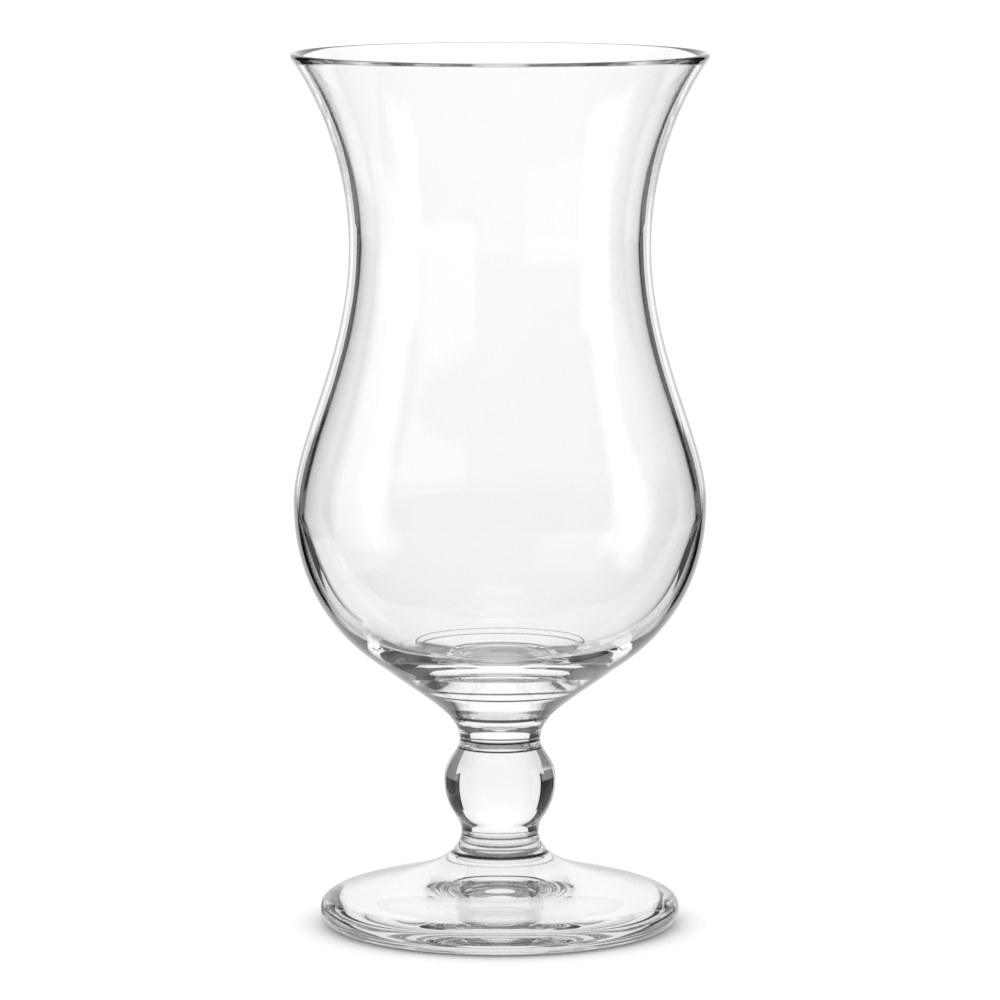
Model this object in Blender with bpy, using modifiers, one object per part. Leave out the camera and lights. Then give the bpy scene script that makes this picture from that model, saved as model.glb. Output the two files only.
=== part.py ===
# Poco grande cocktail glass, in metres with +Z up. The foot rests on z = 0 and every piece turns about Z.
# Three pieces of clear soda-lime glass, sealed hot end to end: a blown bowl, a pressed knop stem, a pressed foot.
import math

import bpy

MM = 0.001

# Lengths along the axis, stacked from the table up; the flared rim takes what is left of the height
HEIGHT = 181.0 * MM  # table to the top of the lip
FOOT_EDGE_RISE = 3.2 * MM  # table to the widest ring of the foot
FOOT_CROWN_RISE = 5.0 * MM  # widest ring of the foot to its shoulder
FOOT_FLARE_RISE = 11.5 * MM  # shoulder of the foot to the lower neck
KNOP_LOWER_RISE = 10.8 * MM  # lower neck to the widest ring of the knop
KNOP_UPPER_RISE = 8.4 * MM  # widest ring of the knop to the upper neck
CONE_RISE = 15.1 * MM  # upper neck to where the bowl begins to round
BELLY_RISE = 34.3 * MM  # from there to the belly
WAIST_RISE = 53.3 * MM  # belly to the waist

# Outside radii
FOOT_RADIUS = 37.25 * MM
LOWER_NECK_RADIUS = 8.05 * MM
KNOP_RADIUS = 11.55 * MM
UPPER_NECK_RADIUS = 8.4 * MM
CONE_RADIUS = 24.0 * MM
BELLY_RADIUS = 42.65 * MM
WAIST_RADIUS = 31.1 * MM
RIM_RADIUS = 43.0 * MM

# Glass thicknesses and the inside of the bowl
LIP_WALL = 1.4 * MM  # also the diameter of the fire-polished round
WAIST_WALL = 2.45 * MM
BELLY_WALL = 2.35 * MM
BASE_DEPTH = 17.75 * MM  # solid glass from the upper neck to the inside floor
FLOOR_RADIUS = 17.9 * MM  # flat inside floor
INNER_BELLY_DROP = 1.8 * MM  # the inside is widest this far below the outside

# Foot: where its top starts to round over, and the hollow underside with its resting ring
FOOT_ROUND_WIDTH = 7.45 * MM  # in from the widest ring to the shoulder
UNDERCUT_WIDTH = 3.8 * MM  # in from the widest ring to the resting ring
REST_WIDTH = 2.5 * MM  # flat resting ring
HOLLOW_RISE = 5.0 * MM  # depth of the hollow at the axis

# Leans from the vertical, positive where the wall opens upwards
FLARE_LEAN = math.radians(34.3)
CONE_LEAN = math.radians(53.4)
FLOOR_LEAN = math.radians(76.3)
SHOULDER_LEAN = math.radians(-75.2)
UPRIGHT = 0.0

# How far each end of a curve keeps its own lean, upper end then lower end, as shares of the curve's rise
FLARE_PULL = (0.31, 0.32)
WAIST_PULL = (0.44, 0.25)
BELLY_PULL = (0.68, 0.06)
CONE_PULL = (0.45, 0.34)
KNOP_UPPER_PULL = (0.36, 0.53)
KNOP_LOWER_PULL = (0.62, 0.29)
FOOT_FLARE_PULL = (0.62, 0.25)
FOOT_CROWN_PULL = (0.31, 0.50)
INNER_FLOOR_PULL = (0.205, 0.145)

SEAL_GAP = 0.3 * MM  # between the end faces that meet at a neck
SIDES = 48  # flats round the axis
MERGE_DISTANCE = 0.00005

LOWER_SEAL = FOOT_EDGE_RISE + FOOT_CROWN_RISE + FOOT_FLARE_RISE
UPPER_SEAL = LOWER_SEAL + KNOP_LOWER_RISE + KNOP_UPPER_RISE
LIP_RISE = HEIGHT - UPPER_SEAL  # upper neck to the top of the lip


def clear_scene():
    for old in list(bpy.data.objects):
        bpy.data.objects.remove(old, do_unlink=True)


def falling_curve(top, top_lean, bottom, bottom_lean, pull, count):
    """Points of a cubic curve from top down to bottom, without its first point."""
    rise = top[1] - bottom[1]
    top_reach = pull[0] * rise
    bottom_reach = pull[1] * rise
    control = (
        top,
        (top[0] - top_reach * math.tan(top_lean), top[1] - top_reach),
        (bottom[0] + bottom_reach * math.tan(bottom_lean), bottom[1] + bottom_reach),
        bottom,
    )
    points = []
    for step in range(1, count + 1):
        t = step / count
        share = ((1 - t) ** 3, 3 * (1 - t) ** 2 * t, 3 * (1 - t) * t**2, t**3)
        points.append(tuple(sum(s * c[axis] for s, c in zip(share, control)) for axis in (0, 1)))
    return points


def arc(centre, radii, start, end, count):
    """Points of an elliptical arc between two angles, both ends included."""
    angles = (start + (end - start) * step / count for step in range(count + 1))
    return [(centre[0] + radii[0] * math.cos(a), centre[1] + radii[1] * math.sin(a)) for a in angles]


def bowl_profile():
    """From the inside floor up the inner wall, over the lip and down outside to the upper neck."""
    base = SEAL_GAP / 2
    belly = CONE_RISE + BELLY_RISE
    waist = belly + WAIST_RISE
    lip_radius = LIP_WALL / 2
    lip_centre = (RIM_RADIUS - lip_radius, LIP_RISE - lip_radius)
    lip = arc(lip_centre, (lip_radius, lip_radius), math.pi - FLARE_LEAN, -FLARE_LEAN, 6)
    inner_waist = (WAIST_RADIUS - WAIST_WALL, waist)
    inner_belly = (BELLY_RADIUS - BELLY_WALL, belly - INNER_BELLY_DROP)
    floor_edge = (FLOOR_RADIUS, BASE_DEPTH)
    inner = (
        falling_curve(lip[0], FLARE_LEAN, inner_waist, UPRIGHT, FLARE_PULL, 8)
        + falling_curve(inner_waist, UPRIGHT, inner_belly, UPRIGHT, WAIST_PULL, 10)
        + falling_curve(inner_belly, UPRIGHT, floor_edge, FLOOR_LEAN, INNER_FLOOR_PULL, 9)
    )
    outer = (
        falling_curve(lip[-1], FLARE_LEAN, (WAIST_RADIUS, waist), UPRIGHT, FLARE_PULL, 8)
        + falling_curve((WAIST_RADIUS, waist), UPRIGHT, (BELLY_RADIUS, belly), UPRIGHT, WAIST_PULL, 10)
        + falling_curve((BELLY_RADIUS, belly), UPRIGHT, (CONE_RADIUS, CONE_RISE), CONE_LEAN, BELLY_PULL, 9)
        + falling_curve((CONE_RADIUS, CONE_RISE), CONE_LEAN, (UPPER_NECK_RADIUS, base), UPRIGHT, CONE_PULL, 6)
    )
    return [(0, BASE_DEPTH)] + inner[::-1] + lip + outer + [(0, base)]


def stem_profile():
    """From the upper seal down over the knop to the lower seal."""
    bottom = SEAL_GAP / 2
    top = KNOP_LOWER_RISE + KNOP_UPPER_RISE - SEAL_GAP / 2
    upper_neck = (UPPER_NECK_RADIUS, top)
    knop = (KNOP_RADIUS, KNOP_LOWER_RISE)
    lower_neck = (LOWER_NECK_RADIUS, bottom)
    return (
        [(0, top), upper_neck]
        + falling_curve(upper_neck, UPRIGHT, knop, UPRIGHT, KNOP_UPPER_PULL, 7)
        + falling_curve(knop, UPRIGHT, lower_neck, UPRIGHT, KNOP_LOWER_PULL, 8)
        + [(0, bottom)]
    )


def foot_profile():
    """From the lower seal down the flare, round the edge, across the resting ring and up into the hollow."""
    top = LOWER_SEAL - SEAL_GAP / 2
    lower_neck = (LOWER_NECK_RADIUS, top)
    shoulder = (FOOT_RADIUS - FOOT_ROUND_WIDTH, FOOT_EDGE_RISE + FOOT_CROWN_RISE)
    widest = (FOOT_RADIUS, FOOT_EDGE_RISE)
    rest_outer = FOOT_RADIUS - UNDERCUT_WIDTH
    rest_inner = rest_outer - REST_WIDTH
    undercut = arc((rest_outer, FOOT_EDGE_RISE), (UNDERCUT_WIDTH, FOOT_EDGE_RISE), 0, -math.pi / 2, 5)
    hollow = [(rest_inner * (1 - step / 7), HOLLOW_RISE * (1 - (1 - step / 7) ** 2)) for step in range(8)]
    return (
        [(0, top), lower_neck]
        + falling_curve(lower_neck, UPRIGHT, shoulder, SHOULDER_LEAN, FOOT_FLARE_PULL, 9)
        + falling_curve(shoulder, SHOULDER_LEAN, widest, UPRIGHT, FOOT_CROWN_PULL, 7)
        + undercut[1:]
        + hollow
    )


def clear_glass(name, colour, roughness):
    material = bpy.data.materials.new(name)
    material.use_nodes = True
    shader = material.node_tree.nodes["Principled BSDF"]
    shader.inputs["Base Color"].default_value = (*colour, 1.0)
    shader.inputs["Roughness"].default_value = roughness
    shader.inputs["Metallic"].default_value = 0.0
    shader.inputs["IOR"].default_value = 1.52
    shader.inputs["Transmission Weight"].default_value = 1.0
    return material


def turned_piece(name, profile, seat, material, holder, collection):
    """One closed piece turned about Z from its profile, standing at height seat."""
    mesh = bpy.data.meshes.new(name)
    edges = [(i, i + 1) for i in range(len(profile) - 1)]
    mesh.from_pydata([(r, 0, z) for r, z in profile], edges, [])
    mesh.materials.append(material)
    piece = bpy.data.objects.new(name, mesh)
    collection.objects.link(piece)
    piece.parent = holder
    piece.location.z = seat
    turn = piece.modifiers.new("turn", "SCREW")
    turn.axis = "Z"
    turn.angle = 2 * math.pi
    turn.steps = SIDES
    turn.render_steps = SIDES
    turn.use_merge_vertices = True
    turn.merge_threshold = MERGE_DISTANCE
    turn.use_smooth_shade = True
    return piece


def main():
    clear_scene()
    collection = bpy.data.collections.new("poco_grande_glass")
    bpy.context.scene.collection.children.link(collection)
    holder = bpy.data.objects.new("glass_axis", None)
    collection.objects.link(holder)
    blown = clear_glass("blown_clear_glass", (0.97, 0.985, 0.98), 0.01)
    pressed_stem = clear_glass("pressed_clear_glass_stem", (0.96, 0.98, 0.975), 0.02)
    pressed_foot = clear_glass("pressed_clear_glass_foot", (0.96, 0.98, 0.975), 0.02)
    turned_piece("bowl", bowl_profile(), UPPER_SEAL, blown, holder, collection)
    turned_piece("stem", stem_profile(), LOWER_SEAL, pressed_stem, holder, collection)
    turned_piece("foot", foot_profile(), 0.0, pressed_foot, holder, collection)


main()
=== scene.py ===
import math

import bpy
import numpy as np
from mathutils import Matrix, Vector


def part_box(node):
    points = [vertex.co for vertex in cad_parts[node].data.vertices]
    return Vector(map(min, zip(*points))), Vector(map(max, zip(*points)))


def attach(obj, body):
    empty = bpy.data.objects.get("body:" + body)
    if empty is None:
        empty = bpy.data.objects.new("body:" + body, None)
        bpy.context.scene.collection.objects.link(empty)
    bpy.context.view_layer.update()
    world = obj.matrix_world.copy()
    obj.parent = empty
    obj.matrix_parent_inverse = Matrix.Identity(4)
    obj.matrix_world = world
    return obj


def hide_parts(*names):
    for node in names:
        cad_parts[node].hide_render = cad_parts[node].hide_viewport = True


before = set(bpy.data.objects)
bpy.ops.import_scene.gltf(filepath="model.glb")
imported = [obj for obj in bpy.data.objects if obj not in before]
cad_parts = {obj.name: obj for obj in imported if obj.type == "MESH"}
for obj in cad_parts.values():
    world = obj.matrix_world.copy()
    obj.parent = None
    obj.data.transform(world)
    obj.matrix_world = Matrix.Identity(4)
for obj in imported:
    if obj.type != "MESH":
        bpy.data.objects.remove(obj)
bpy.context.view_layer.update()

# Poco grande glass: a blown bowl, a pressed knop stem and a pressed foot of clear soda-lime glass, sealed hot
# at the two necks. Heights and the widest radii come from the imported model, the rest is in mm below.

mm = 0.001
upright = 0.0


def seatBetween(lowerNode, upperNode):  # height where two pieces were sealed, half way across their gap
    return (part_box(lowerNode)[1].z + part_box(upperNode)[0].z) / 2


lowerSeal = seatBetween("foot", "stem")
upperSeal = seatBetween("stem", "bowl")
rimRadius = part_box("bowl")[1].x
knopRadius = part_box("stem")[1].x
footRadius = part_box("foot")[1].x
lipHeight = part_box("bowl")[1].z
neckRadius = {"upper": 8.4 * mm, "lower": 8.05 * mm}

sealSteps = 4  # rows of faces across a sealed end
glassIndex = 1.52

# Fine rings that the plunger, the seals and the tools leave round the glass, cut in as shallow grooves. Each
# has its place from its seal (or its radius on the inside floor), its width, the depth it is cut to (negative
# stands up) and how dark its line is. The groove bends the light a little itself; the near-black line over it
# is painted shade.
rings = {
    "floor": {"place": 17.9 * mm, "width": 0.16 * mm, "depth": -0.06 * mm, "dark": 1.6},
    "upperSeal": {"place": 0.1 * mm, "width": 0.2 * mm, "depth": 0.12 * mm, "dark": 3.0},
    "cone": {"place": 5.2 * mm, "width": 0.36 * mm, "depth": 0.05 * mm, "dark": 2.0},
    "coneTop": {"place": 10.5 * mm, "width": 0.17 * mm, "depth": 0.04 * mm, "dark": 2.4},
    "knopTop": {"place": -1.6 * mm, "width": 0.15 * mm, "depth": 0.05 * mm, "dark": 2.0},
    "lowerSeal": {"place": -0.7 * mm, "width": 0.2 * mm, "depth": 0.1 * mm, "dark": 1.0},
    "flareTop": {"place": -3.0 * mm, "width": 0.12 * mm, "depth": 0.03 * mm, "dark": 0.6},
    "flare": {"place": -4.45 * mm, "width": 0.25 * mm, "depth": 0.08 * mm, "dark": 2.0},
}
# near-black of the painted shade on the rings
ringShadeColour = "#060707"
ringSpan, ringPoints = 2.4, 13  # extra rows of points across a ring, out to this many widths to each side
print("frame read: seals at", round(lowerSeal / mm, 2), "and", round(upperSeal / mm, 2), "mm")


def linear(hexColour):  # sRGB hex to the linear colour that a shader takes
    parts = np.array([int(hexColour[i:i + 2], 16) for i in (1, 3, 5)]) / 255
    parts = np.where(parts <= 0.04045, parts / 12.92, ((parts + 0.055) / 1.055) ** 2.4)
    return (*parts.tolist(), 1.0)


def addNode(tree, kind, inputs=None, **settings):  # a node with its settings, its values and its links
    node = tree.nodes.new(kind)
    for name, value in settings.items():
        setattr(node, name, value)
    for name, value in (inputs or {}).items():
        if isinstance(value, bpy.types.NodeSocket):
            tree.links.new(value, node.inputs[name])
        else:
            node.inputs[name].default_value = value
    return node


def mathNode(tree, operation, *values):  # what one Math node makes of its values
    return addNode(tree, "ShaderNodeMath", dict(enumerate(values)), operation=operation).outputs["Value"]


def emptyTree(holder):  # node tree of a material or world, without its first nodes
    holder.use_nodes = True
    holder.node_tree.nodes.clear()
    return holder.node_tree


# Cubic curve from top down to bottom, in (radius, height). Each end keeps its own lean from the vertical
# over its pull, which is a share of the curve's rise. The first point is left out.
def fallingCurve(top, topLean, bottom, bottomLean, pull, count, closer=False, near=()):
    rise = top[1] - bottom[1]
    reach = [share * rise for share in pull]
    hold = np.array([
        top,
        (top[0] - reach[0] * math.tan(topLean), top[1] - reach[0]),
        (bottom[0] + reach[1] * math.tan(bottomLean), bottom[1] + reach[1]),
        bottom,
    ])

    def cubic(t):
        return np.stack([(1 - t) ** 3, 3 * (1 - t) ** 2 * t, 3 * (1 - t) * t**2, t**3], axis=1) @ hold

    t = np.linspace(0, 1, count + 1)
    t = np.sin(t * np.pi / 2) if closer else t  # points closer together towards the bottom
    fine = np.linspace(0, 1, 2001)  # to look up where the curve is at a height
    for height, width in near:  # and more points across each fine ring
        wanted = height + width * np.linspace(-ringSpan, ringSpan, ringPoints)
        wanted = wanted[(wanted < top[1]) & (wanted > bottom[1])]
        t = np.append(t, np.interp(-wanted, -cubic(fine)[:, 1], fine))
    return cubic(np.unique(np.round(t, 4))[1:])


# Arc of an ellipse: centre + radii * (cos a, sin a), both ends included
def arc(centre, radii, start, end, count):
    a = np.linspace(start, end, count + 1)[:, None]
    return np.array(centre) + np.array(radii) * np.hstack([np.cos(a), np.sin(a)])


# Straight run of points after start, up to end
def run(start, end, count):
    t = np.linspace(0, 1, count + 1)[1:, None]
    return np.array(start) * (1 - t) + np.array(end) * t


# Place and width of each named ring, measured from its seal
def ringSpots(sealHeight, keys):
    return [(sealHeight + rings[key]["place"], rings[key]["width"]) for key in keys]


# A ring: depth * exp(-(distance / width) squared) is cut along one axis of the profile (0 is the radius, 1 is
# the height) where the other axis is near place, and its line gets painted shade by the same curve
def ringMark(profile, dark, rows, axis, place, ring):
    near = np.exp(-(((profile[rows, 1 - axis] - place) / ring["width"]) ** 2))
    profile[rows, axis] -= ring["depth"] * near
    dark[rows] = np.maximum(dark[rows], np.clip(ring["dark"] * near, 0, 1))


# Surface of revolution: point (r, z) of the profile at angle a goes to (r cos a, r sin a, z). Both ends of
# the profile lie on the axis and are one vertex each. The faces of the sealed ends take the second material.
# The attribute "edge" is how much sooner a row takes the painted edge shade, and "dark" is how dark the
# painted shade on a ring is.
def turnedPiece(name, profile, edge, dark, sides, skins, seals):
    rows = len(profile) - 2
    a = np.arange(sides) * 2 * np.pi / sides
    r, z = profile[1:-1, :1], profile[1:-1, 1:]
    around = np.stack([r * np.cos(a), r * np.sin(a), np.broadcast_to(z, (rows, sides))], axis=-1)
    points = np.vstack([[(0, 0, profile[0, 1])], around.reshape(-1, 3), [(0, 0, profile[-1, 1])]])
    here = 1 + np.arange(rows * sides).reshape(rows, sides)
    after = np.roll(here, -1, axis=1)
    quads = np.stack([here[:-1], here[1:], after[1:], after[:-1]], axis=-1).reshape(-1, 4)
    firstFan = np.stack([np.zeros(sides, int), here[0], after[0]], axis=-1)
    lastFan = np.stack([np.full(sides, len(points) - 1), after[-1], here[-1]], axis=-1)
    mesh = bpy.data.meshes.new(name)
    mesh.from_pydata(points.tolist(), [], firstFan.tolist() + quads.tolist() + lastFan.tolist())

    def atSeal(heights):
        return np.isin(np.round(heights / mm, 3), np.round(np.array(seals) / mm, 3))

    faceRow = np.repeat(np.arange(rows + 1), sides)
    sealed = atSeal((profile[faceRow, 1] + profile[faceRow + 1, 1]) / 2)
    for label, values in (("edge", edge), ("dark", dark)):
        spread = np.concatenate([values[:1], np.repeat(values[1:-1], sides), values[-1:]])
        mesh.attributes.new(label, "FLOAT", "POINT").data.foreach_set("value", spread.astype(np.float32))
    mesh.polygons.foreach_set("material_index", sealed.astype(np.int32))
    mesh.polygons.foreach_set("use_smooth", np.ones(len(mesh.polygons), bool))
    ends = np.empty(len(mesh.edges) * 2, np.int32)
    mesh.edges.foreach_get("vertices", ends)
    offAxis = points[:, 0] ** 2 + points[:, 1] ** 2 > 0
    onSeal = atSeal(points[:, 2]) & offAxis
    mesh.edges.foreach_set("use_edge_sharp", onSeal[ends.reshape(-1, 2)].all(axis=1))
    for skin in skins:
        mesh.materials.append(skin)
    mesh.update()
    piece = bpy.data.objects.new(name, mesh)
    bpy.context.scene.collection.objects.link(piece)
    print(name, len(mesh.polygons), "faces")
    return piece


# Clear soda-lime glass, fire-polished: almost colourless, with sharp reflections. Where the eye looks along
# the wall the colour turns near-black: this is painted shade, far darker than the little the glass absorbs
# over that long way, standing in for the dark edges that the studio gives the glass. Slow waves from the mould
# bend what is seen through the glass a little, and the polish is not quite even.
def clearGlass(name, g):
    skin = bpy.data.materials.new(name)
    skin.use_nodes = True
    tree = skin.node_tree
    shader = tree.nodes["Principled BSDF"]
    # Painted edge shade: the colour turns from colour to edgeShadeColour as the wall is seen more edge-on,
    # sooner or later by the attribute "edge"
    lean = addNode(tree, "ShaderNodeLayerWeight", {"Blend": 0.5})
    sooner = addNode(tree, "ShaderNodeAttribute", attribute_name="edge")
    lean = mathNode(tree, "ADD", lean.outputs["Facing"], sooner.outputs["Fac"])
    edge = addNode(tree, "ShaderNodeMapRange", {
        "Value": lean, "From Min": g["reach"][0], "From Max": g["reach"][1],
    }, interpolation_type="SMOOTHSTEP")
    tint = addNode(tree, "ShaderNodeMix", {  # sockets 0, 6 and 7 are the factor and the two colours
        0: edge.outputs["Result"], 6: linear(g["colour"]), 7: linear(g["edgeShadeColour"]),
    }, data_type="RGBA")
    # Painted shade on the rings: their lines turn near-black by the attribute "dark"
    dark = addNode(tree, "ShaderNodeAttribute", attribute_name="dark")
    tint = addNode(tree, "ShaderNodeMix", {
        0: dark.outputs["Fac"], 6: tint.outputs[2], 7: linear(ringShadeColour),
    }, data_type="RGBA")
    tree.links.new(tint.outputs[2], shader.inputs["Base Color"])

    where = addNode(tree, "ShaderNodeTexCoord")
    drawn = addNode(tree, "ShaderNodeVectorMath", {
        0: where.outputs["Object"], 1: (1, 1, g["stretch"]),
    }, operation="MULTIPLY")
    wave = addNode(tree, "ShaderNodeTexNoise", {
        "Vector": drawn.outputs["Vector"], "Scale": 1 / g["waveSize"], "Detail": 1.0,
    })
    bump = addNode(tree, "ShaderNodeBump", {"Height": wave.outputs["Fac"], "Distance": g["waveHeight"]})
    tree.links.new(bump.outputs["Normal"], shader.inputs["Normal"])
    polish = addNode(tree, "ShaderNodeTexNoise", {
        "Vector": where.outputs["Object"], "Scale": 1 / g["polishSize"], "Detail": 3.0,
    })
    rough = addNode(tree, "ShaderNodeMapRange", {  # most of the noise lies between 0.3 and 0.7
        "Value": polish.outputs["Fac"], "From Min": 0.3, "From Max": 0.7,
        "To Min": g["roughness"][0], "To Max": g["roughness"][1],
    })
    tree.links.new(rough.outputs["Result"], shader.inputs["Roughness"])
    shader.inputs["IOR"].default_value = glassIndex
    shader.inputs["Transmission Weight"].default_value = 1.0
    return skin


# Where two pieces were fused there is only glass on both sides, so the eye sees no surface there
def fusedSeal():
    skin = bpy.data.materials.new("fusedGlassSeal")
    tree = emptyTree(skin)
    clear = addNode(tree, "ShaderNodeBsdfTransparent")
    addNode(tree, "ShaderNodeOutputMaterial", {"Surface": clear.outputs["BSDF"]})
    return skin


seal = fusedSeal()

bowl = {
    "sides": 192,
    "coneHeight": 15.1 * mm,  # all heights here are above the upper seal
    "bellyHeight": 49.4 * mm,
    "waistHeight": 102.7 * mm,
    "coneRadius": 24.0 * mm,
    "bellyRadius": 42.65 * mm,
    "waistRadius": 31.1 * mm,
    "lipWall": 1.4 * mm,
    "waistWall": 2.45 * mm,
    "bellyWall": 2.35 * mm,
    "floorHeight": 17.75 * mm,
    "floorRadius": 17.9 * mm,
    "innerBellyDrop": 1.8 * mm,
    "flareLean": math.radians(34.3),
    "coneLean": math.radians(53.4),
    "floorLean": math.radians(76.3),
    "flarePull": (0.31, 0.32),
    "waistPull": (0.44, 0.25),
    "bellyPull": (0.68, 0.06),
    "conePull": (0.45, 0.34),
    "innerFloorPull": (0.205, 0.145),
    "lipSteps": 16,  # points along each part of the profile
    "flareSteps": 40,
    "waistSteps": 48,
    "bellySteps": 48,
    "coneSteps": 40,
    "innerFloorSteps": 110,
    "floorSteps": (8, 16),  # over the middle of the floor, and over the border that its ring needs
    "floorBorder": 1.0 * mm,
    # the painted edge shade comes in sooner by these shares, outside and inside, at these heights
    "edgeShadeHeights": np.array([4.5, 5.5, 9.5, 11, 24, 30, 44, 54, 85, 103, 118, 133]) * mm,
    "outerEdgeShade": (0.02, 0.22, 0.22, 0.1, 0.1, 0.15, 0.15, 0.02, 0.02, 0.02, 0.02, 0.02),
    "innerEdgeShade": (-0.065, -0.065, -0.065, -0.065, -0.065, -0.065, -0.065, -0.1, -0.1, -0.04, 0.0, 0.03),
    "lipEdgeShade": 0.3,
}


# From the middle of the inside floor up the inner wall, over the lip and down outside to the upper seal
def bowlProfile(b):
    lipRadius = b["lipWall"] / 2
    waist, belly, cone = (upperSeal + b[key] for key in ("waistHeight", "bellyHeight", "coneHeight"))
    floor = upperSeal + b["floorHeight"]
    lean = b["flareLean"]
    lipMiddle = (rimRadius - lipRadius, lipHeight - lipRadius)
    lip = arc(lipMiddle, (lipRadius, lipRadius), math.pi - lean, -lean, b["lipSteps"])
    innerWaist = (b["waistRadius"] - b["waistWall"], waist)
    innerBelly = (b["bellyRadius"] - b["bellyWall"], belly - b["innerBellyDrop"])
    floorEdge = (b["floorRadius"], floor)
    outerWaist = (b["waistRadius"], waist)
    outerBelly = (b["bellyRadius"], belly)
    outerCone = (b["coneRadius"], cone)
    neck = (neckRadius["upper"], upperSeal)
    coneRings = ("upperSeal", "cone", "coneTop")
    inner = np.vstack([
        fallingCurve(lip[0], lean, innerWaist, upright, b["flarePull"], b["flareSteps"]),
        fallingCurve(innerWaist, upright, innerBelly, upright, b["waistPull"], b["waistSteps"]),
        fallingCurve(
            innerBelly, upright, floorEdge, b["floorLean"], b["innerFloorPull"], b["innerFloorSteps"],
            closer=True,
        ),
    ])
    outer = np.vstack([
        fallingCurve(lip[-1], lean, outerWaist, upright, b["flarePull"], b["flareSteps"]),
        fallingCurve(outerWaist, upright, outerBelly, upright, b["waistPull"], b["waistSteps"]),
        fallingCurve(outerBelly, upright, outerCone, b["coneLean"], b["bellyPull"], b["bellySteps"]),
        fallingCurve(
            outerCone, b["coneLean"], neck, upright, b["conePull"], b["coneSteps"],
            near=ringSpots(upperSeal, coneRings),
        ),
    ])
    border = (b["floorRadius"] - b["floorBorder"], floor)
    floorRun = np.vstack([
        run((0, floor), border, b["floorSteps"][0]),
        run(border, floorEdge, b["floorSteps"][1])[:-1],
    ])
    inside = np.vstack([[(0, floor)], floorRun, inner[::-1]])
    profile = np.vstack([inside, lip, outer, run(neck, (0, upperSeal), sealSteps)])
    outside = np.arange(len(profile)) >= len(inside) + len(lip) // 2
    dark = np.zeros(len(profile))
    ringMark(profile, dark, np.flatnonzero(~outside), 1, rings["floor"]["place"], rings["floor"])
    # Painted edge shade: how much sooner each row turns near-black towards its edge, the lip rows soonest
    heights = b["edgeShadeHeights"] + upperSeal
    outerEdgeShade, innerEdgeShade = (np.interp(profile[:, 1], heights, b[key]) for key in ("outerEdgeShade", "innerEdgeShade"))
    edge = np.where(outside, outerEdgeShade, innerEdgeShade)
    lipEnd = len(inside) + len(lip)
    edge[len(inside):lipEnd] = b["lipEdgeShade"]
    for key in coneRings:
        rows = np.arange(lipEnd, len(profile) - sealSteps)
        ringMark(profile, dark, rows, 0, upperSeal + rings[key]["place"], rings[key])
    return profile, edge, dark


stem = {
    "sides": 192,
    "knopHeight": 10.8 * mm,  # above the lower seal
    "upperPull": (0.36, 0.53),
    "lowerPull": (0.62, 0.29),
    "upperSteps": 48,
    "lowerSteps": 64,
}


# From the upper seal down over the knop to the lower seal
def stemProfile(s):
    upperNeck, lowerNeck = (neckRadius["upper"], upperSeal), (neckRadius["lower"], lowerSeal)
    knop = (knopRadius, lowerSeal + s["knopHeight"])
    upperRings = ("upperSeal", "knopTop")
    profile = np.vstack([
        [(0, upperSeal)],
        run((0, upperSeal), upperNeck, sealSteps),
        fallingCurve(
            upperNeck, upright, knop, upright, s["upperPull"], s["upperSteps"],
            near=ringSpots(upperSeal, upperRings),
        ),
        fallingCurve(knop, upright, lowerNeck, upright, s["lowerPull"], s["lowerSteps"]),
        run(lowerNeck, (0, lowerSeal), sealSteps),
    ])
    dark = np.zeros(len(profile))
    skinRows = np.arange(sealSteps, len(profile) - sealSteps)
    for key in upperRings:
        ringMark(profile, dark, skinRows, 0, upperSeal + rings[key]["place"], rings[key])
    ringMark(profile, dark, skinRows, 0, lowerSeal + rings["lowerSeal"]["place"], rings["lowerSeal"])
    return profile, np.zeros(len(profile)), dark


foot = {
    "sides": 256,
    "edgeHeight": 3.2 * mm,
    "shoulderHeight": 8.2 * mm,
    "roundWidth": 7.45 * mm,  # in from the widest ring to the shoulder
    "undercutWidth": 3.8 * mm,  # in from the widest ring to the resting ring
    "restWidth": 2.5 * mm,
    "hollowRise": 5.0 * mm,
    "shoulderLean": math.radians(-75.2),
    "flarePull": (0.62, 0.25),
    "crownPull": (0.31, 0.50),
    "flareSteps": 64,
    "crownSteps": 28,
    "undercutSteps": 20,
    "restSteps": 4,
    "hollowSteps": 48,
    "underEdgeShade": -0.075,  # the painted edge shade comes this much later on the underside
}


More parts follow.
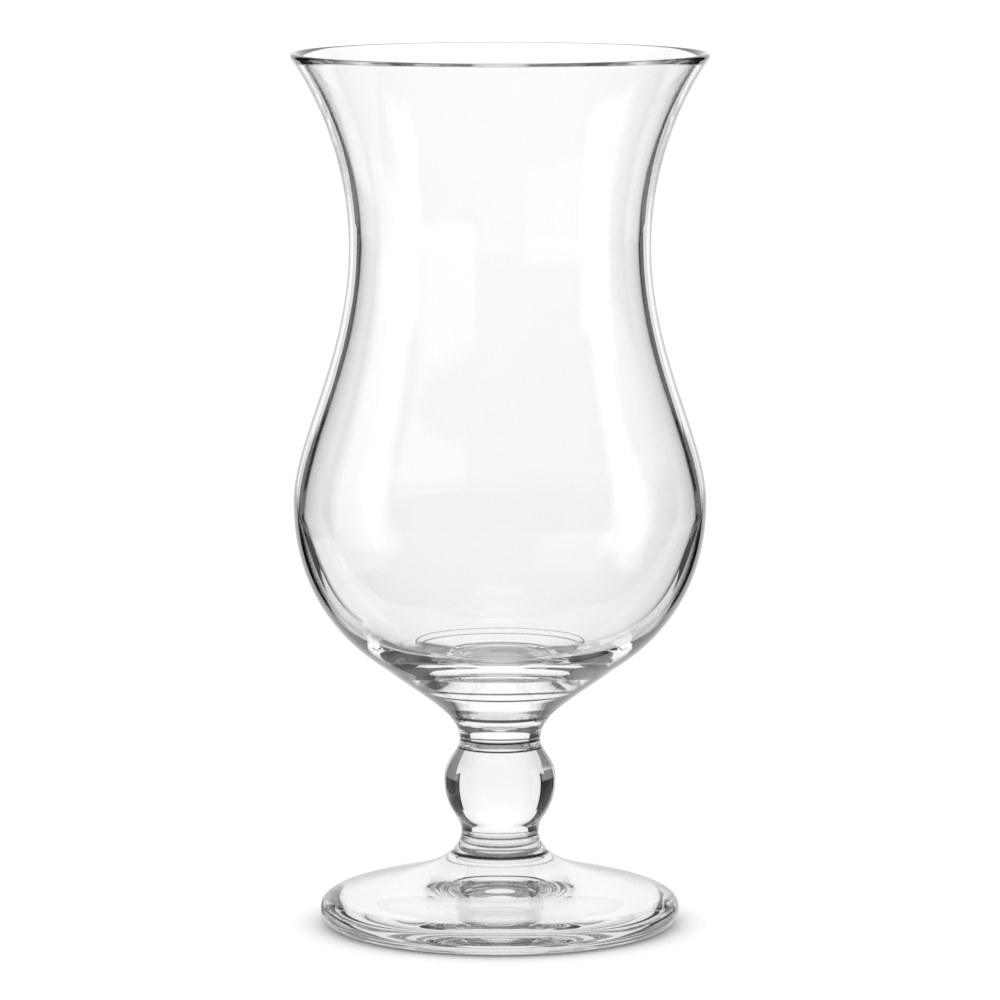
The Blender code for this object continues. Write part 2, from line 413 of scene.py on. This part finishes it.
# From the lower seal down the flare, round the edge, across the resting ring and up into the hollow
def footProfile(f):
    lowerNeck = (neckRadius["lower"], lowerSeal)
    flareRings = ("lowerSeal", "flareTop", "flare")
    shoulder = (footRadius - f["roundWidth"], f["shoulderHeight"])
    widest = (footRadius, f["edgeHeight"])
    restOuter = footRadius - f["undercutWidth"]
    restInner = restOuter - f["restWidth"]
    undercutRadii = (f["undercutWidth"], f["edgeHeight"])
    undercut = arc((restOuter, f["edgeHeight"]), undercutRadii, 0, -math.pi / 2, f["undercutSteps"])
    r = np.linspace(1, 0, f["hollowSteps"] + 1)[:, None]
    hollow = np.hstack([restInner * r, f["hollowRise"] * (1 - r**2)])
    top = np.vstack([
        [(0, lowerSeal)],
        run((0, lowerSeal), lowerNeck, sealSteps),
        fallingCurve(
            lowerNeck, upright, shoulder, f["shoulderLean"], f["flarePull"], f["flareSteps"],
            near=ringSpots(lowerSeal, flareRings),
        ),
        fallingCurve(shoulder, f["shoulderLean"], widest, upright, f["crownPull"], f["crownSteps"]),
        undercut[1:],
    ])
    profile = np.vstack([top, run(undercut[-1], hollow[0], f["restSteps"])[:-1], hollow])
    dark = np.zeros(len(profile))
    topRows = np.arange(sealSteps, len(top))
    for key in flareRings:
        ringMark(profile, dark, topRows, 0, lowerSeal + rings[key]["place"], rings[key])
    # Painted edge shade, coming in later on the underside
    edge = np.where(np.arange(len(profile)) < len(top), 0, f["underEdgeShade"])
    return profile, edge, dark


# edgeShadeColour is the near-black that the painted edge shade reaches, over the lean given by reach
blown = clearGlass("blownSodaLimeGlass", {
    "colour": "#FEFEFE", "edgeShadeColour": "#050606", "reach": (0.8, 0.9),
    "waveSize": 7 * mm, "waveHeight": 0.012 * mm, "stretch": 0.4,  # waves drawn out upwards by the blowing
    "polishSize": 12 * mm, "roughness": (0.0, 0.02),
})
pressedStem = clearGlass("pressedSodaLimeGlassStem", {
    "colour": "#FDFEFE", "edgeShadeColour": "#0E1010", "reach": (0.76, 0.89),
    "waveSize": 5 * mm, "waveHeight": 0.01 * mm, "stretch": 1.0,
    "polishSize": 6 * mm, "roughness": (0.0, 0.03),
})
# The foot's colour is greyer than the bowl's though it is the same glass: painted shade that greys the whole
# foot
pressedFoot = clearGlass("pressedSodaLimeGlassFoot", {
    "colour": "#EEEFEE", "edgeShadeColour": "#0C0E0D", "reach": (0.76, 0.92),
    "waveSize": 6 * mm, "waveHeight": 0.006 * mm, "stretch": 1.0,
    "polishSize": 8 * mm, "roughness": (0.0, 0.012),
})

for name, (profile, edge, dark), sides, skin, seals, node, slotName in (
    ("blownBowl", bowlProfile(bowl), bowl["sides"], blown, [upperSeal], "bowl", "bowl_glass"),
    ("knopStem", stemProfile(stem), stem["sides"], pressedStem, [upperSeal, lowerSeal], "stem", "stem_glass"),
    ("discFoot", footProfile(foot), foot["sides"], pressedFoot, [lowerSeal], "foot", "foot_glass"),
):
    piece = turnedPiece(name, profile, edge, dark, sides, [skin, seal], seals)
    piece.visible_diffuse = node == "foot"  # clear glass high above the table leaves no shade there
    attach(piece, "root")
    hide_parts(node)


def flatSheet(name, corners, skin):  # one flat face that belongs to the stage
    mesh = bpy.data.meshes.new(name)
    mesh.from_pydata(corners, [], [tuple(range(len(corners)))])
    mesh.materials.append(skin)
    sheet = bpy.data.objects.new(name, mesh)
    bpy.context.scene.collection.objects.link(sheet)
    return sheet


def glassOnly(sheet):  # seen in and through the glass, while the camera and the light on the table pass it by
    sheet.visible_camera = False
    sheet.visible_diffuse = False
    sheet.visible_shadow = False


# White table in matt paint, plain and without shine. Only the camera and the soft light see it: what the
# glass bends is the studio below.
table = {"halfWidth": 3.0, "paint": "#F3F3F3"}


def whiteTable(t):
    skin = bpy.data.materials.new("mattPaintedTable")
    skin.use_nodes = True
    shader = skin.node_tree.nodes["Principled BSDF"]
    shader.inputs["Base Color"].default_value = linear(t["paint"])
    shader.inputs["Roughness"].default_value = 1.0
    shader.inputs["Specular IOR Level"].default_value = 0.0
    h = t["halfWidth"]
    plane = flatSheet("whiteTable", [(-h, -h, 0), (h, -h, 0), (h, h, 0), (-h, h, 0)], skin)
    plane.visible_transmission = False
    plane.visible_glossy = False


whiteTable(table)

# Lit white card that stands behind the glass, so that its clear middle is white and its edges are dark. It
# goes on below the table as its own reflection there, a little dimmer.
backCard = {
    "distance": 200 * mm,
    "halfWidth": 136 * mm,
    "top": 360 * mm,
    "bottom": -400 * mm,
    "base": (-35 * mm, 175 * mm),  # from this height down it is this wide to each side, like the table's white
    "head": (108 * mm, 151 * mm),  # and from this height up
    "blend": (-20 * mm, 150 * mm),  # heights between which the brightness rises
    "levels": (1.0, 1.13),
    "clear": 46 * mm,  # full brightness to here from the middle, then falling to the sides
    "sideLevel": 0.84,
}


def standingCard(c):
    skin = bpy.data.materials.new("litWhiteCard")
    tree = emptyTree(skin)
    where = addNode(tree, "ShaderNodeTexCoord")
    axes = addNode(tree, "ShaderNodeSeparateXYZ", {"Vector": where.outputs["Object"]})
    level = addNode(tree, "ShaderNodeMapRange", {
        "Value": axes.outputs["Z"], "From Min": c["blend"][0], "From Max": c["blend"][1],
        "To Min": c["levels"][0], "To Max": c["levels"][1],
    }, interpolation_type="SMOOTHSTEP")
    side = mathNode(tree, "ABSOLUTE", axes.outputs["X"])
    fade = addNode(tree, "ShaderNodeMapRange", {
        "Value": side, "From Min": c["clear"], "From Max": c["halfWidth"],
        "To Min": 1.0, "To Max": c["sideLevel"],
    })
    level = mathNode(tree, "MULTIPLY", level.outputs["Result"], fade.outputs["Result"])
    glow = addNode(tree, "ShaderNodeEmission", {"Strength": level})
    addNode(tree, "ShaderNodeOutputMaterial", {"Surface": glow.outputs["Emission"]})
    skin.cycles.emission_sampling = "NONE"
    right = [
        (c["base"][1], c["bottom"]), c["base"][::-1], (c["halfWidth"], c["base"][0]),
        (c["halfWidth"], c["head"][0]), c["head"][::-1], (c["head"][1], c["top"]),
    ]
    left = [(-x, z) for x, z in right[::-1]]
    corners = [(x, c["distance"], z) for x, z in right + left]
    glassOnly(flatSheet("standingCard", corners, skin))


standingCard(backCard)

# Grey sheet lying at the table's height to the left behind the foot, so that both sides of the knop are grey
sideSheet = {
    "reach": (42 * mm, 102 * mm),  # its two distances from the glass
    "angles": (-36.0, -82.0),  # its two sides, in degrees from straight behind the glass
    "height": -0.5 * mm,
    "fade": (72 * mm, 102 * mm),  # distances between which it turns white
    "levels": (0.3, 0.88),
}


def lyingSheet(c):
    skin = bpy.data.materials.new("greySheet")
    tree = emptyTree(skin)
    where = addNode(tree, "ShaderNodeTexCoord")
    away = addNode(tree, "ShaderNodeVectorMath", {0: where.outputs["Object"]}, operation="LENGTH")
    level = addNode(tree, "ShaderNodeMapRange", {
        "Value": away.outputs["Value"], "From Min": c["fade"][0], "From Max": c["fade"][1],
        "To Min": c["levels"][0], "To Max": c["levels"][1],
    }, interpolation_type="SMOOTHSTEP")
    glow = addNode(tree, "ShaderNodeEmission", {"Strength": level.outputs["Result"]})
    addNode(tree, "ShaderNodeOutputMaterial", {"Surface": glow.outputs["Emission"]})
    skin.cycles.emission_sampling = "NONE"
    first, last = (math.radians(angle) for angle in c["angles"])
    near, far = c["reach"]
    places = ((near, first), (far, first), (far, last), (near, last))
    corners = [(r * math.sin(a), r * math.cos(a), c["height"]) for r, a in places]
    glassOnly(flatSheet("lyingSheet", corners, skin))


lyingSheet(sideSheet)
print("table, card and sheet set")

# The studio round the glass, as brightness by direction: a dim room by height above the horizon, and cards in
# it. A card has its angle from straight behind the glass (right is positive), its half width, its lowest and
# highest edge, all in degrees, its brightness, and 1 if the outside of the glass mirrors it too.
studio = {
    "seen": 1.1,  # what the camera sees past the table
    "soft": 1.2,  # even light on the table
    "edge": 1.5,  # softness of a card's edge, in degrees
    "room": ((-90, 0.5), (-60, 0.4), (-30, 0.3), (-8, 0.28), (-6.5, 0.01), (40, 0.01), (55, 0.08), (90, 0.2)),
    "cards": (
        (0, 38.5, -62, 40, 0.01, 1),  # dark, round the lit card that stands there
        (0, 43, 46, 58, 0.9, 1),  # two cards above that one
        (0, 40, 61.5, 77, 0.65, 1),
        (0, 181, 78, 91, 0.95, 1),  # overhead
        (-57, 19, -48, -18, 0.88, 0),  # low on the left behind
        (135, 24, -40, -3, 0.95, 0),  # low on the right in front
        (-90, 18, -26, 30, 0.95, 1),  # upright on the left, and its brighter strip
        (-99, 9, -26, 30, 1.15, 1),
        (99, 10, -26, 30, 1.15, 1),  # upright on the right
    ),
}


def studioWorld(s):
    world = bpy.data.worlds.new("studio")
    bpy.context.scene.world = world
    tree = emptyTree(world)
    world.cycles.sampling_method = "NONE"
    where = addNode(tree, "ShaderNodeTexCoord")
    axes = addNode(tree, "ShaderNodeSeparateXYZ", {"Vector": where.outputs["Generated"]})
    turn = mathNode(tree, "DEGREES", mathNode(tree, "ARCTAN2", axes.outputs["X"], axes.outputs["Y"]))
    rise = mathNode(tree, "DEGREES", mathNode(tree, "ARCSINE", axes.outputs["Z"]))
    share = addNode(tree, "ShaderNodeMapRange", {"Value": rise, "From Min": -90.0, "From Max": 90.0})
    room = addNode(tree, "ShaderNodeValToRGB", {"Fac": share.outputs["Result"]})
    stops = room.color_ramp.elements
    stops.remove(stops[-1])
    for index, (degrees, level) in enumerate(s["room"]):
        stop = stops[0] if index == 0 else stops.new(0.5)
        stop.position = (degrees + 90) / 180
        stop.color = (level, level, level, 1)
    light = room.outputs["Color"]
    ray = addNode(tree, "ShaderNodeLightPath")
    for angle, halfWidth, lowest, highest, level, mirrored in s["cards"]:
        off = mathNode(tree, "ABSOLUTE", mathNode(tree, "SUBTRACT", turn, angle))
        inside = 1.0 if mirrored else ray.outputs["Is Transmission Ray"]
        for value, edge, side in ((off, halfWidth, -1), (rise, lowest, 1), (rise, highest, -1)):
            near = addNode(tree, "ShaderNodeMapRange", {
                "Value": value, "From Min": edge - side * s["edge"], "From Max": edge + side * s["edge"],
            }, interpolation_type="SMOOTHSTEP")
            inside = mathNode(tree, "MULTIPLY", near.outputs["Result"], inside)
        mix = addNode(tree, "ShaderNodeMix", {"Factor": inside, "A": light, "B": level})
        light = mix.outputs["Result"]
    for kind, level in (("Is Diffuse Ray", s["soft"]), ("Is Camera Ray", s["seen"])):
        mix = addNode(tree, "ShaderNodeMix", {"Factor": ray.outputs[kind], "A": light, "B": level})
        light = mix.outputs["Result"]
    glow = addNode(tree, "ShaderNodeBackground", {"Color": (1, 1, 1, 1), "Strength": light})
    addNode(tree, "ShaderNodeOutputWorld", {"Surface": glow.outputs["Background"]})


studioWorld(studio)

# Camera as the photograph has it, a long lens a little above the rim
camera = {
    "distance": 1.2276,
    "height": 0.24547,
    "down": math.radians(7.278),
    "lens": 215.72,
    "sensor": 36,
    "clipEnd": 50,
}


def photoCamera(c):
    data = bpy.data.cameras.new("camera")
    data.sensor_width = c["sensor"]
    data.lens = c["lens"]
    data.clip_end = c["clipEnd"]
    holder = bpy.data.objects.new("camera", data)
    holder.location = (0, -c["distance"], c["height"])
    holder.rotation_euler = (math.pi / 2 - c["down"], 0, 0)
    bpy.context.scene.collection.objects.link(holder)
    bpy.context.scene.camera = holder


photoCamera(camera)
print("studio and camera set")

bpy.context.scene.view_settings.view_transform = "Standard"
bounces = 160  # enough for light to find its way out of the thick base
paths = bpy.context.scene.cycles
paths.max_bounces = bounces
paths.glossy_bounces = bounces
paths.transmission_bounces = bounces
paths.transparent_max_bounces = bounces
